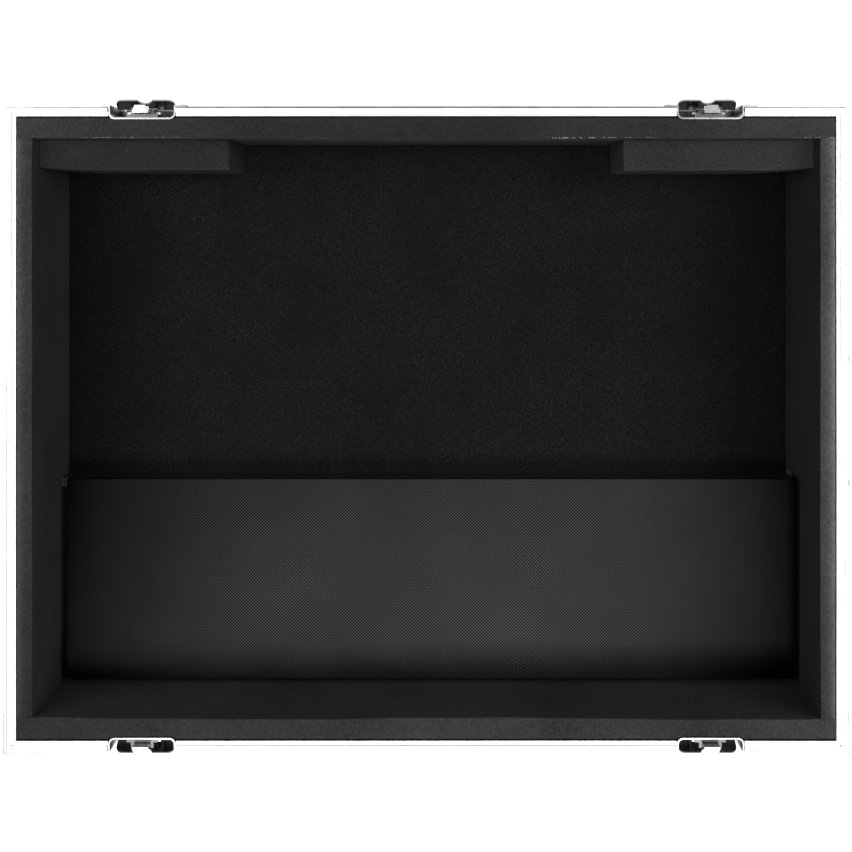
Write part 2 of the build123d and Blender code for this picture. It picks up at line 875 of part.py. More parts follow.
def foot_screw():
    with BuildPart() as screw:
        with BuildSketch(Plane.XY.offset(screw_seat - screw_head_height)):
            Circle(screw_head_radius)
        extrude(amount=screw_head_height)
        with BuildSketch(Plane.XY.offset(screw_seat - screw_head_height)):
            RegularPolygon(radius=screw_radius, side_count=6)
        extrude(amount=screw_head_height / 2, mode=Mode.SUBTRACT)
        with BuildSketch(Plane.XY.offset(screw_seat)):
            Circle(screw_radius)
        extrude(amount=floor_bottom + screw_grip - screw_seat)
    return screw.part


def rivet(length, head_radius, head_height, shank_radius):
    """Domed rivet with its head on local z 0 and its shank below."""
    dome = (head_radius**2 + head_height**2) / (2 * head_height)
    with BuildPart() as shape:
        with BuildSketch(Plane.XZ):
            with BuildLine():
                Line((0, head_height), (0, -length))
                Line((0, -length), (shank_radius, -length))
                Line((shank_radius, -length), (shank_radius, 0))
                Line((shank_radius, 0), (head_radius, 0))
                RadiusArc((head_radius, 0), (0, head_height), -dome)
            make_face()
        revolve(axis=Axis.Z)
    return shape.part


def placed(shape, planes):
    """Copies of a shape on planes, all in one part."""
    with BuildPart() as group:
        with Locations(*planes):
            add(shape)
    return group.part


def rivets():
    pan_rivet = rivet(pan_sheet, pan_rivet_head_radius, pan_rivet_head_height, pan_rivet_radius)
    pan_floor = pan_depth - pan_sheet
    pan_planes = [face(side, pan_floor, *place) for side in ("front", "back") for place in PAN_RIVETS]
    groups = [placed(pan_rivet, pan_planes)]
    for side, rows in RIVETS.items():
        for seat, places in rows:
            shape = rivet(wall_depth - seat, rivet_head_radius, rivet_head_height, rivet_radius)
            groups.append(placed(shape, [face(side, seat, *place) for place in places]))
    with BuildPart() as every:
        for group in groups:
            add(group)
    return every.part


os.makedirs("parts", exist_ok=True)

save(bottom_panel(), "bottom_panel")
for name, piece in {
    "panel": front_panel(),
    "rim": front_rim(),
    "bottom_angle": front_bottom_angle(),
    "foam": end_foam(),
}.items():
    save(piece, f"front_{name}")
    save(flipped(piece, Plane.XZ), f"back_{name}")
for name, piece in {
    "panel": right_panel(),
    "rim": right_rim(),
    "bottom_angle": right_bottom_angle(),
    "corner_block": corner_block(),
    "handle_plate": handle_plate(),
    "handle_bail": handle_bail(),
    "handle_grip": handle_grip(),
}.items():
    save(piece, f"right_{name}")
    save(flipped(piece, Plane.YZ), f"left_{name}")
for name, piece in {
    "corner_angle": corner_angle(),
    "corner_brace": corner_brace(),
    "ball_corner": ball_corner(),
    "latch_dish": latch_dish(),
    "latch_hook": latch_hook(),
    "latch_spindle": latch_spindle(),
    "latch_wing": latch_wing(),
}.items():
    save_four(piece, name)
save(relieved_foam(), "right_foam")
save(flipped(side_foam(), Plane.YZ), "left_foam")
save(floor_mat(), "floor_mat")
save(step_board(), "step_board")
save(step_riser(), "step_riser")
save(step_cleats(), "step_cleats")
foot_planes = [Plane(origin=(*place, 0)) for place in foot_places()]
save(placed(rubber_foot(), foot_planes), "rubber_feet")
save(placed(foot_screw(), foot_planes), "foot_screws")
save(rivets(), "rivets")
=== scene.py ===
"""Looks of the flight case base tray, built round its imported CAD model. Metres, +Z up."""

import math

import bpy
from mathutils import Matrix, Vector, noise


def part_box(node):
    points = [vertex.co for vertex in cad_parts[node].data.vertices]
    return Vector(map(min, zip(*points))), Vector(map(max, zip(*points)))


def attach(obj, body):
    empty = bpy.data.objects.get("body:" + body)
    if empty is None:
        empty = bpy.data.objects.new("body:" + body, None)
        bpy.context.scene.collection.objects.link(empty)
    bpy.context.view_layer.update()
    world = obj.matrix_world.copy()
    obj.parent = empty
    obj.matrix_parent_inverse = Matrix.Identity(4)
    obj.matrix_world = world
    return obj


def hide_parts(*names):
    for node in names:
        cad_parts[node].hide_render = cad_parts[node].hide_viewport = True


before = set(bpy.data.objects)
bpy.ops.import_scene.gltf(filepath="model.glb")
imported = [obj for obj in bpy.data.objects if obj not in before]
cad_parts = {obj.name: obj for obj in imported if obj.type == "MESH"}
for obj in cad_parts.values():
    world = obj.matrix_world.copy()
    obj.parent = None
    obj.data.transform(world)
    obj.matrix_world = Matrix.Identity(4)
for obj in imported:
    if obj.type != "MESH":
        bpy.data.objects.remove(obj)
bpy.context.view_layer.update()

CORNERS = [f"{end}_{side}" for end in ("front", "back") for side in ("left", "right")]
SIDES = ("front", "back", "left", "right")


# Node trees

def new_material(name):
    """A material with one Principled shader, and the means to add nodes to it."""
    material = bpy.data.materials.new(name)
    material.use_nodes = True
    tree = material.node_tree
    shader = tree.nodes["Principled BSDF"]
    return material, tree, shader


def add(tree, kind, inputs=(), **settings):
    """A node with settings; each input is (name or index, value or the socket to link)."""
    node = tree.nodes.new(kind)
    for key, value in settings.items():
        setattr(node, key, value)
    for key, value in dict(inputs).items():
        if isinstance(value, bpy.types.NodeSocket):
            tree.links.new(value, node.inputs[key])
        else:
            node.inputs[key].default_value = value
    return node


def link(tree, out, socket):
    tree.links.new(out, socket)


def math_node(tree, operation, first, second=0.0):
    return add(tree, "ShaderNodeMath", {0: first, 1: second}, operation=operation).outputs[0]


def coords(tree, scale=(1, 1, 1)):
    """Coordinates on the piece itself, in metres times a scale."""
    where = add(tree, "ShaderNodeTexCoord").outputs["Object"]
    return add(tree, "ShaderNodeMapping", {"Vector": where, "Scale": scale}).outputs[0]


def noise_node(tree, where, scale, detail=2.0, rough=0.5):
    inputs = {"Vector": where, "Scale": scale, "Detail": detail, "Roughness": rough}
    return add(tree, "ShaderNodeTexNoise", inputs).outputs["Fac"]


def remap(tree, value, low, high, to_low, to_high):
    inputs = {"Value": value, "From Min": low, "From Max": high,
              "To Min": to_low, "To Max": to_high}
    return add(tree, "ShaderNodeMapRange", inputs).outputs[0]


def tint(tree, factor, dark, light):
    """Colour between two greys or colours, by a factor from 0 to 1."""
    mix = add(tree, "ShaderNodeMix", {"Factor": factor}, data_type="RGBA")
    mix.inputs["A"].default_value = (*dark, 1)
    mix.inputs["B"].default_value = (*light, 1)
    return mix.outputs["Result"]


def scaled(tree, colour, factor):
    inputs = {0: colour, "Scale": factor}
    return add(tree, "ShaderNodeVectorMath", inputs, operation="SCALE").outputs[0]


def bump(tree, height, distance, strength=1.0, below=None):
    inputs = {"Height": height, "Distance": distance, "Strength": strength}
    if below is not None:
        inputs["Normal"] = below
    return add(tree, "ShaderNodeBump", inputs).outputs[0]


def grey(value, warm=0.0):
    return (value * (1 + warm), value, value * (1 - warm))


def laminate(name, across, up, dark, light, relief_height, painted_lamp_highlight=False):
    """Black embossed laminate: fine diagonal ridges in the plane of two axes, with light scuffs and
    painted glints on the ridge crests.

    With the flag set, the board's base colour is lighter at its middle and darker at its ends: a
    painted highlight of the lamps in the middle, painted shade at the ends.
    """
    material, tree, shader = new_material(name)
    where = coords(tree)
    split = add(tree, "ShaderNodeSeparateXYZ", {0: where})
    u, v = split.outputs[across], split.outputs[up]
    rows = []
    for sign, share in ((1, 0.68), (-1, 0.32)):
        slope = math_node(tree, "ADD", u, math_node(tree, "MULTIPLY", v, sign))
        phase = math_node(tree, "MULTIPLY", slope, 2 * math.pi / EMBOSS_PITCH)
        wave = math_node(tree, "SINE", phase)
        rows.append(math_node(tree, "MULTIPLY", wave, share))
    relief = math_node(tree, "ADD", rows[0], rows[1])
    # painted glints: the ridge crests are lighter in the base colour, in thin bright lines
    crest = math_node(tree, "POWER", remap(tree, relief, -0.9, 1.0, 0.0, 1.0), 3.0)
    cloud = noise_node(tree, where, 9.0, 4.0)
    grain = noise_node(tree, where, 900.0, 2.0)
    scuff = noise_node(tree, coords(tree, (30, 160, 90)), 1.4, 6.0, 0.65)
    worn = remap(tree, scuff, 0.62, 0.80, 0.0, 0.035)
    tone = math_node(tree, "ADD", math_node(tree, "MULTIPLY", crest, cloud), worn)
    base = tint(tree, tone, grey(dark), grey(light))
    # painted highlight and painted shade: base colour lighter at the board's middle, darker towards
    # its ends
    if painted_lamp_highlight:
        from_middle = math_node(tree, "ABSOLUTE", split.outputs["X"])
        base = scaled(tree, base, remap(tree, from_middle, 0.22, 0.35, 1.0, 0.02))
    link(tree, base, shader.inputs["Base Color"])
    link(tree, remap(tree, grain, 0.3, 0.7, 0.14, 0.22), shader.inputs["Roughness"])
    fine = bump(tree, grain, 0.00004)
    link(tree, bump(tree, relief, relief_height, 0.85, fine), shader.inputs["Normal"])
    shader.inputs["Specular IOR Level"].default_value = 0.06
    return material


def frayed_edge_highlights(tree, where, colour, edge):
    """Frayed cells here and there along a cut edge at a distance from the case's long axis, painted
    light grey as highlights.
    """
    split = add(tree, "ShaderNodeSeparateXYZ", {0: where}).outputs
    out = math_node(tree, "ABSOLUTE", split["Y"])
    near = between(tree, out, edge - 0.0003, edge + 0.0006, 0.0003)
    cell = noise_node(tree, coords(tree, (480, 480, 480)), 1.0, 0.0)
    stretch = noise_node(tree, coords(tree, (9, 0.1, 0.1)), 1.0, 0.0)
    torn = remap(tree, cell, 0.50, 0.56, 0.0, 1.0)
    place = remap(tree, stretch, 0.50, 0.56, 0.0, 0.8)
    factor = math_node(tree, "MULTIPLY", math_node(tree, "MULTIPLY", near, torn), place)
    # painted highlight: light grey on the frayed cells of the edge
    mix = add(tree, "ShaderNodeMix", {"Factor": factor}, data_type="RGBA")
    link(tree, colour, mix.inputs["A"])
    mix.inputs["B"].default_value = (*grey(0.30), 1)
    return mix.outputs["Result"]


def foam(name, dark, light, top_painted_light=1.0, painted_light_runs=(), depth=None, fray_highlight_edge=None):
    """Charcoal closed-cell foam: fine cells, slow changes of tone, and painted light and shade on
    its top.

    The top is a factor times as light as the sides, as painted light and shade.
    Each run (coordinate, start, end, low, high, power) also scales the top from low to high along
    a coordinate, as painted light and shade. Depth (start, end, low, high) does the same to the
    sides, along their height, as painted shade.
    """
    material, tree, shader = new_material(name)
    where = coords(tree)
    cells = add(tree, "ShaderNodeTexVoronoi", {"Vector": where, "Scale": 700.0}).outputs["Distance"]
    fleck = noise_node(tree, where, 420.0, 3.0, 0.7)
    cloud = noise_node(tree, where, 11.0, 3.0)
    fine_share = math_node(tree, "MULTIPLY", fleck, 0.75)
    slow_share = math_node(tree, "MULTIPLY", cloud, 0.4)
    tone = math_node(tree, "ADD", fine_share, slow_share)
    tone = remap(tree, tone, 0.35, 0.80, 0.0, 1.0)
    base = tint(tree, tone, dark, light)
    # painted light and shade: the top's colour is the sides' times a factor, for how the lamps fall
    # on it
    normal = add(tree, "ShaderNodeTexCoord").outputs["Normal"]
    up = add(tree, "ShaderNodeSeparateXYZ", {0: normal}).outputs["Z"]
    facing = remap(tree, up, 0.5, 0.9, 0.0, 1.0)
    edge = tint(tree, tone, [c * top_painted_light for c in dark], [c * top_painted_light for c in light])
    # painted shade: the sides darken towards the bottom
    if depth:
        painted_light_factor = remap(tree, add(tree, "ShaderNodeSeparateXYZ", {0: where}).outputs["Z"], *depth)
        base = scaled(tree, base, painted_light_factor)
    # painted light and shade on the top along a coordinate
    for way, start, end, low, high, power in painted_light_runs:
        run = add(tree, "ShaderNodeSeparateXYZ", {0: where}).outputs[way[-1]]
        if way.startswith("abs"):
            run = math_node(tree, "ABSOLUTE", run)
        run = math_node(tree, "POWER", remap(tree, run, start, end, 0.0, 1.0), power)
        painted_light_factor = remap(tree, run, 0.0, 1.0, low, high)
        edge = scaled(tree, edge, painted_light_factor)
    if fray_highlight_edge:
        edge = frayed_edge_highlights(tree, where, edge, fray_highlight_edge)
    mix = add(tree, "ShaderNodeMix", {"Factor": facing}, data_type="RGBA")
    link(tree, base, mix.inputs["A"])
    link(tree, edge, mix.inputs["B"])
    link(tree, mix.outputs["Result"], shader.inputs["Base Color"])
    shader.inputs["Roughness"].default_value = 0.92
    shader.inputs["Specular IOR Level"].default_value = 0.06
    pits = bump(tree, cells, 0.00025, 0.5)
    link(tree, bump(tree, fleck, 0.00035, 0.6, pits), shader.inputs["Normal"])
    return material


def felt():
    """Black needle felt: short tangled fibres with a faint nap, and painted shade towards the end
    walls.
    """
    material, tree, shader = new_material("felt")
    where = coords(tree)
    bent = add(tree, "ShaderNodeVectorMath", {0: where}, operation="ADD")
    tangle = add(tree, "ShaderNodeTexNoise", {"Vector": where, "Scale": 160.0}).outputs["Color"]
    link(tree, scaled(tree, tangle, 0.006), bent.inputs[1])
    ways = []
    for scale in ((1500, 420, 800), (420, 1500, 800)):
        way = add(tree, "ShaderNodeMapping", {"Vector": bent.outputs[0], "Scale": scale}).outputs[0]
        ways.append(noise_node(tree, way, 1.0, 2.0))
    fibre = math_node(tree, "MAXIMUM", *ways)
    cloud = noise_node(tree, where, 16.0, 4.0)
    lint = remap(tree, noise_node(tree, where, 620.0, 1.0), 0.70, 0.80, 0.0, 0.5)
    tone = math_node(tree, "ADD", remap(tree, fibre, 0.48, 0.75, 0.0, 0.8), lint)
    tone = math_node(tree, "MULTIPLY", tone, remap(tree, cloud, 0.3, 0.7, 0.75, 1.25))
    pile = tint(tree, tone, grey(0.006), grey(0.029))
    # painted shade: the felt darkens towards the end walls, where their shadow falls
    side = add(tree, "ShaderNodeSeparateXYZ", {0: where}).outputs
    from_end = math_node(tree, "SUBTRACT", X_LINING, math_node(tree, "ABSOLUTE", side["X"]))
    varied_by_place = remap(tree, from_end, 0.0, 0.11, 0.55, 1.0)
    link(tree, scaled(tree, pile, varied_by_place), shader.inputs["Base Color"])
    shader.inputs["Roughness"].default_value = 1.0
    shader.inputs["Specular IOR Level"].default_value = 0.02
    shader.inputs["Sheen Weight"].default_value = 0.02
    shader.inputs["Sheen Roughness"].default_value = 0.45
    link(tree, bump(tree, fibre, 0.0006, 0.8), shader.inputs["Normal"])
    return material


def between(tree, value, low, high, soft):
    """1 from low to high, fading to 0 over a soft margin outside."""
    rise = remap(tree, value, low - soft, low, 0.0, 1.0)
    return math_node(tree, "MULTIPLY", rise, remap(tree, value, high, high + soft, 1.0, 0.0))


def tongue_foot_shade(tree, where, base, across, reach):
    """Painted shade in the corners along both sides of a rim's tongue, as a darker base colour."""
    split = add(tree, "ShaderNodeSeparateXYZ", {0: where}).outputs
    depth = math_node(tree, "SUBTRACT", reach, math_node(tree, "ABSOLUTE", split[across]))
    seat = between(tree, split["Z"], RIM_SEAT - 0.0004, RIM_SEAT + 0.0008, 0.0003)
    outer = between(tree, depth, 0.0020, 0.0036, 0.0002)
    inner = math_node(tree, "MULTIPLY", between(tree, depth, 0.0069, 0.0072, 0.0002), 0.35)
    # painted shade: darker base colour in the corners at the tongue's feet
    painted_foot_shade = math_node(tree, "MULTIPLY", math_node(tree, "MAXIMUM", outer, inner), seat)
    uneven = remap(tree, noise_node(tree, where, 60.0, 4.0), 0.3, 0.7, 0.88, 1.0)
    factor = math_node(tree, "MULTIPLY", painted_foot_shade, uneven)
    mix = add(tree, "ShaderNodeMix", {"Factor": factor}, data_type="RGBA")
    link(tree, base, mix.inputs["A"])
    mix.inputs["B"].default_value = (*grey(0.012), 1)
    return mix.outputs["Result"]


def pan_shade(tree, where, base, face, top, share):
    """Painted shade inside a latch dish: its colour scaled by a share, but for flange and top edge.
    """
    split = add(tree, "ShaderNodeSeparateXYZ", {0: where}).outputs
    out = math_node(tree, "ABSOLUTE", split["Y"])
    inside = remap(tree, out, face - 0.0022, face - 0.0016, 1.0, 0.0)
    below = remap(tree, split["Z"], top - 0.0016, top - 0.0010, 1.0, 0.0)
    scale = remap(tree, math_node(tree, "MULTIPLY", inside, below), 0.0, 1.0, 1.0, share)
    return scaled(tree, base, scale)


def metal(name, colour, rough, streak, wear, tongue=None, pan=None):
    """Plated or anodised metal with drawn streaks, a patchy sheen and small scratches.

    Tongue (axis, reach) paints shade at a rim tongue's feet; pan (face, top, share) paints shade in
    a dish.
    """
    brushed = 0.00001
    material, tree, shader = new_material(name)
    where = coords(tree)
    drawn = noise_node(tree, coords(tree, streak), 1.0, 4.0, 0.6)
    patch = noise_node(tree, where, 35.0, 5.0, 0.6)
    scratch = noise_node(tree, coords(tree, (900, 60, 420)), 1.0, 3.0, 0.8)
    nick = remap(tree, scratch, 0.66, 0.72, 0.0, 1.0)
    tone = remap(tree, patch, 0.25, 0.75, 0.0, 1.0)
    base = tint(tree, tone, [c * (1 - wear * 0.35) for c in colour], colour)
    # painted shade at the feet of the rim's tongue
    if tongue:
        base = tongue_foot_shade(tree, where, base, *tongue)
    # painted shade inside the latch dish
    if pan:
        base = pan_shade(tree, where, base, *pan)
    link(tree, base, shader.inputs["Base Color"])
    uneven = math_node(tree, "MULTIPLY", remap(tree, patch, 0.3, 0.75, -1.0, 1.0), wear * 0.25)
    varied_by_place = math_node(tree, "ADD", uneven, math_node(tree, "MULTIPLY", nick, wear * 0.5))
    spread = math_node(tree, "ADD", varied_by_place, remap(tree, drawn, 0.2, 0.8, rough * 0.75, rough * 1.3))
    link(tree, math_node(tree, "MAXIMUM", spread, 0.05), shader.inputs["Roughness"])
    shader.inputs["Metallic"].default_value = 1.0
    fine = bump(tree, drawn, brushed * 3)
    link(tree, bump(tree, scratch, brushed, 0.6, fine), shader.inputs["Normal"])
    return material


def rubber(name, value):
    """Matt rubber with a fine grain and slow changes of tone."""
    material, tree, shader = new_material(name)
    where = coords(tree)
    grain = noise_node(tree, where, 1300.0, 2.0)
    cloud = noise_node(tree, where, 30.0, 4.0)
    link(tree, tint(tree, cloud, grey(value * 0.7), grey(value * 1.4)), shader.inputs["Base Color"])
    link(tree, remap(tree, cloud, 0.3, 0.7, 0.55, 0.75), shader.inputs["Roughness"])
    link(tree, bump(tree, grain, 0.00008), shader.inputs["Normal"])
    return material


def plywood():
    """Bare wood with growth rings and pores along Y."""
    material, tree, shader = new_material("plywood")
    rings = noise_node(tree, coords(tree, (90, 6, 90)), 1.0, 6.0, 0.6)
    pores = noise_node(tree, coords(tree, (1800, 90, 1800)), 1.0, 2.0)
    pale = remap(tree, rings, 0.3, 0.7, 0.0, 0.8)
    dark = remap(tree, pores, 0.55, 0.7, 0.0, -0.3)
    tone = math_node(tree, "ADD", pale, dark)
    base = tint(tree, tone, (0.26, 0.16, 0.09), (0.52, 0.38, 0.24))
    link(tree, base, shader.inputs["Base Color"])
    shader.inputs["Roughness"].default_value = 0.7
    link(tree, bump(tree, pores, 0.0001), shader.inputs["Normal"])
    return material


# Meshes

def planes_through(marks, step):
    """Grid planes through the marks, no further apart than the step."""
    marks = sorted(set(round(mark, 6) for mark in marks))
    places = [marks[0]]
    for low, high in zip(marks, marks[1:]):
        count = max(1, math.ceil((high - low) / step - 1e-6))
        places += [low + (high - low) * i / count for i in range(1, count + 1)]
    return places


def grid_solid(name, marks, step, filled, move=None):
    """Closed quad mesh round the grid cells where filled(x, y, z) holds, its corners moved."""
    axes = [planes_through(row, step) for row in marks]
    counts = [len(row) - 1 for row in axes]
    middle = [[(a + b) / 2 for a, b in zip(row, row[1:])] for row in axes]
    solid = {
        (i, j, k)
        for i in range(counts[0]) for j in range(counts[1]) for k in range(counts[2])
        if filled(middle[0][i], middle[1][j], middle[2][k])
    }
    corners, faces = {}, []
    ring = [(0, 0), (1, 0), (1, 1), (0, 1)]
    for cell in solid:
        for axis in range(3):
            for end in (0, 1):
                beyond = list(cell)
                beyond[axis] += 1 if end else -1
                if tuple(beyond) in solid:
                    continue
                face = []
                for a, b in (ring if end else ring[::-1]):
                    corner = list(cell)
                    corner[axis] += end
                    corner[(axis + 1) % 3] += a
                    corner[(axis + 2) % 3] += b
                    face.append(corners.setdefault(tuple(corner), len(corners)))
                faces.append(face)
    points = [Vector((axes[0][i], axes[1][j], axes[2][k])) for i, j, k in corners]
    if move:
        points = [move(point) for point in points]
    mesh = bpy.data.meshes.new(name)
    mesh.from_pydata([tuple(point) for point in points], [], faces)
    mesh.validate()
    piece = bpy.data.objects.new(name, mesh)
    bpy.context.scene.collection.objects.link(piece)
    return piece


def soften(piece, width, segments=2):
    """Rounded cut edges and smooth shading."""
    edge = piece.modifiers.new("edges", "BEVEL")
    edge.width = width
    edge.segments = segments
    edge.limit_method = "ANGLE"
    edge.angle_limit = math.radians(40)
    edge.harden_normals = False
    for polygon in piece.data.polygons:
        polygon.use_smooth = True
    normals = piece.modifiers.new("normals", "WEIGHTED_NORMAL")
    normals.keep_sharp = True


def dress(piece, node, material):
    """Puts a piece in place of a CAD node of the case body."""
    piece.data.materials.append(material)
    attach(piece, "tray")
    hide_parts(node)


# Mesh and texture sizes
EMBOSS_PITCH = 0.00325
FOAM_CELL = 0.006
FELT_CELL = 0.007
FOAM_ROUND = 0.0007
BLOCK_ROUND = 0.0009
FELT_ROUND = 0.0015
WAVE_SEED = 1795602439      # picks the waves in foam and felt, which unseeded change each run
TOP_SKIN = 0.0005           # corners this close below a top belong to it
WAVE_DEPTH = 0.012          # how far a lining's waviness reaches into it
LINING_WAVE, BLOCK_WAVE = 0.0007, 0.0006
BOW_HALF, BOW_RISE = 0.192, 0.0016      # the back lining bulges between the blocks
SAG_TURNS, SAG_PHASE, SAG = 14, 0.6, 0.0009     # the front lining's long wave
TAPER_RUN, TAPER = 0.046, 0.0025        # the blocks thin out towards the end walls
TOP_WAVE = 0.0004
BLOCK_TOP_WAVE = 0.0007
FELT_WAVE = 0.0003
FELT_EDGE_RUN, FELT_EDGE_DROP = 0.008, 0.0008

noise.seed_set(WAVE_SEED)

# Sizes that repeat the case's own, most of them taken from its nodes

floor_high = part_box("floor_mat")[1]
FELT_TOP = floor_high.z
X_LINING, Y_LINING = floor_high.x, floor_high.y
X_PANEL, Y_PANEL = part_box("right_foam")[1].x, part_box("back_foam")[1].y
LINING_DROP = 0.0015
RIM_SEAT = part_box("back_foam")[1].z + LINING_DROP
RIM_LEG = 0.018
WALL = 0.009
RIM_LIP = 0.002
PAN_MID = sum(end.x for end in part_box("latch_dish_back_right")) / 2
PAN_HALF = 0.03275
PAN_BACK = 0.0055
PAN_DROP = 0.0615
PAN_ROUND = 0.0017
CREVICE, CREVICE_DEPTH = 0.0014, 0.006
RELIEF_DEPTH, RELIEF_HEIGHT, RELIEF_BEHIND = 0.006, 0.064, 0.0055


def wander(point, size, seed):
    """Smooth drift of a point on a soft surface."""
    spot = point / size + Vector((seed, seed * 1.7, seed * 0.3))
    return noise.noise_vector(spot)


def lining(side):
    """One foam lining, notched for the rim and latch pans that it meets, and cut a bit wavy."""
    node = f"{side}_foam"
    low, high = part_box(node)
    leg = RIM_SEAT - RIM_LEG
    sign = -1 if side in ("front", "left") else 1
    long_side = side in ("front", "back")
    wall = Y_PANEL if long_side else X_PANEL
    inner = Y_LINING if long_side else X_LINING
    lip = wall - RIM_LIP
    crevice = CREVICE if long_side else CREVICE * 0.5
    crevice_low = high.z - CREVICE_DEPTH
    pan_low = RIM_SEAT - PAN_DROP
    pan_face = wall - PAN_BACK
    relief_x = X_LINING + RELIEF_DEPTH
    relief_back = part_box("step_board")[1].y + RELIEF_BEHIND
    relief_top = FELT_TOP + RELIEF_HEIGHT
    x_marks = [low.x, high.x]
    y_marks = [low.y, high.y]
    z_marks = [low.z, high.z, leg, pan_low, crevice_low]
    if long_side:
        x_marks += [s * (PAN_MID + t * PAN_HALF) for s in (1, -1) for t in (1, -1)]
        x_marks += [s * (X_PANEL - RIM_LIP) for s in (1, -1)]
        y_marks += [sign * lip, sign * (lip - crevice), sign * pan_face]
    else:
        x_marks += [sign * lip, sign * (lip - crevice)]
        if side == "right":
            x_marks += [relief_x]
            y_marks += [relief_back]
            z_marks += [FELT_TOP, relief_top]

    def filled(x, y, z):
        deep = abs(y) if long_side else abs(x)
        if z > leg and deep > lip or z > crevice_low and deep > lip - crevice:
            return False
        if long_side and z > leg and abs(x) > X_PANEL - RIM_LIP:
            return False
        if long_side and z > pan_low and abs(abs(x) - PAN_MID) < PAN_HALF and deep > pan_face:
            return False
        if side == "right" and x < relief_x and y < relief_back and FELT_TOP < z < relief_top:
            return False
        return True

    def move(point):
        near = max(0.0, 1 - (abs(point.y if long_side else point.x) - inner) / WAVE_DEPTH)
        height = max(0.0, (point.z - FELT_TOP) / (high.z - FELT_TOP))
        drift = wander(point, 0.07, 3.0 + 5 * SIDES.index(side))
        shift = LINING_WAVE * drift.x * near * height
        if side == "back" and near > 0:
            bow = 0.0
            if abs(point.x) < BOW_HALF:
                bow = max(0.0, math.cos(point.x / BOW_HALF * math.pi / 2))
            shift += BOW_RISE * bow * height * near
        if side == "front":
            shift += SAG * math.sin(point.x * SAG_TURNS + SAG_PHASE) * near * height
        moved = point.copy()
        at_side = abs(abs(abs(point.x) - PAN_MID) - PAN_HALF) < 1e-5
        at_face = abs(abs(point.y) - pan_face) < 1e-5
        if long_side and at_side and at_face and point.z > pan_low:
            moved.y += sign * PAN_ROUND
            moved.x += math.copysign(PAN_ROUND, point.x) * (1 if abs(point.x) < PAN_MID else -1)
        in_relief = point.z < relief_top + 0.001 and point.y < relief_back
        free = 0.0 if side == "right" and in_relief else 1.0
        if long_side:
            moved.y -= sign * shift
        else:
            moved.x -= sign * shift * free
        if point.z > high.z - TOP_SKIN:
            moved.z += TOP_WAVE * drift.z - TOP_WAVE
        return moved

    piece = grid_solid(f"foam_{side}", (x_marks, y_marks, z_marks), FOAM_CELL, filled, move)
    soften(piece, FOAM_ROUND)
    material = dict(zip(SIDES, (FOAM_FRONT, FOAM_BACK, FOAM_LEFT, FOAM_RIGHT)))[side]
    dress(piece, node, material)


def corner_block(side):
    """Loose-cut foam block in a back corner."""
    node = f"{side}_corner_block"
    low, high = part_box(node)
    seed = 31.0 if side == "right" else 47.0

    def move(point):
        moved = point.copy()
        run = (X_LINING - abs(point.x)) / TAPER_RUN
        if point.y < low.y + 0.004 and run < 1:
            moved.y += TAPER * (1 - run)
        drift = wander(point, 0.05, seed)
        up = max(0.0, (point.z - low.z) / (high.z - low.z))
        if point.y < high.y - 0.004:
            moved.y += BLOCK_WAVE * drift.y * up
        if abs(point.x) < X_LINING - 0.02:
            moved.x += BLOCK_WAVE * drift.x * up
        if point.z > high.z - TOP_SKIN:
            moved.z += BLOCK_TOP_WAVE * drift.z - TOP_WAVE
        return moved

    marks = ([low.x, high.x], [low.y, high.y], [low.z, high.z])
    piece = grid_solid(f"foam_block_{side}", marks, FOAM_CELL, lambda x, y, z: True, move)
    soften(piece, BLOCK_ROUND)
    dress(piece, node, FOAM_BLOCK_RIGHT if side == "right" else FOAM_BLOCK_LEFT)


def felt_mat():
    """Felt on the tray's floor, soft at its edges, with a barely uneven top."""
    low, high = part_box("floor_mat")

    def move(point):
        moved = point.copy()
        if point.z > high.z - TOP_SKIN:
            drift = wander(point, 0.09, 11.0)
            edge = min(high.x - abs(point.x), high.y - abs(point.y))
            drop = FELT_EDGE_DROP * max(0.0, 1 - edge / FELT_EDGE_RUN)
            moved.z += FELT_WAVE * drift.z - FELT_WAVE - drop
        return moved

    marks = ([low.x, high.x], [low.y, high.y], [low.z, high.z])
    piece = grid_solid("felt_floor", marks, FELT_CELL, lambda x, y, z: True, move)
    soften(piece, FELT_ROUND)
    dress(piece, "floor_mat", FELT)


# Materials
# laminate of the step board and bottom panel, with the painted highlight in the middle and painted
# shade at the ends
LAMINATE_TOP = laminate("laminate_flat", "X", "Y", 0.001, 0.10, 0.00006, painted_lamp_highlight=True)
LAMINATE_LONG = laminate("laminate_long_wall", "X", "Z", 0.003, 0.045, 0.00008)
LAMINATE_END = laminate("laminate_end_wall", "Y", "Z", 0.003, 0.045, 0.00008)
# painted light: the riser is a lighter copy of the walls' laminate, for the light that falls on it
LAMINATE_RISER = laminate("laminate_riser", "X", "Z", 0.022, 0.085, 0.00008)
LIP_X, LIP_Y = X_PANEL - RIM_LIP, Y_PANEL - RIM_LIP
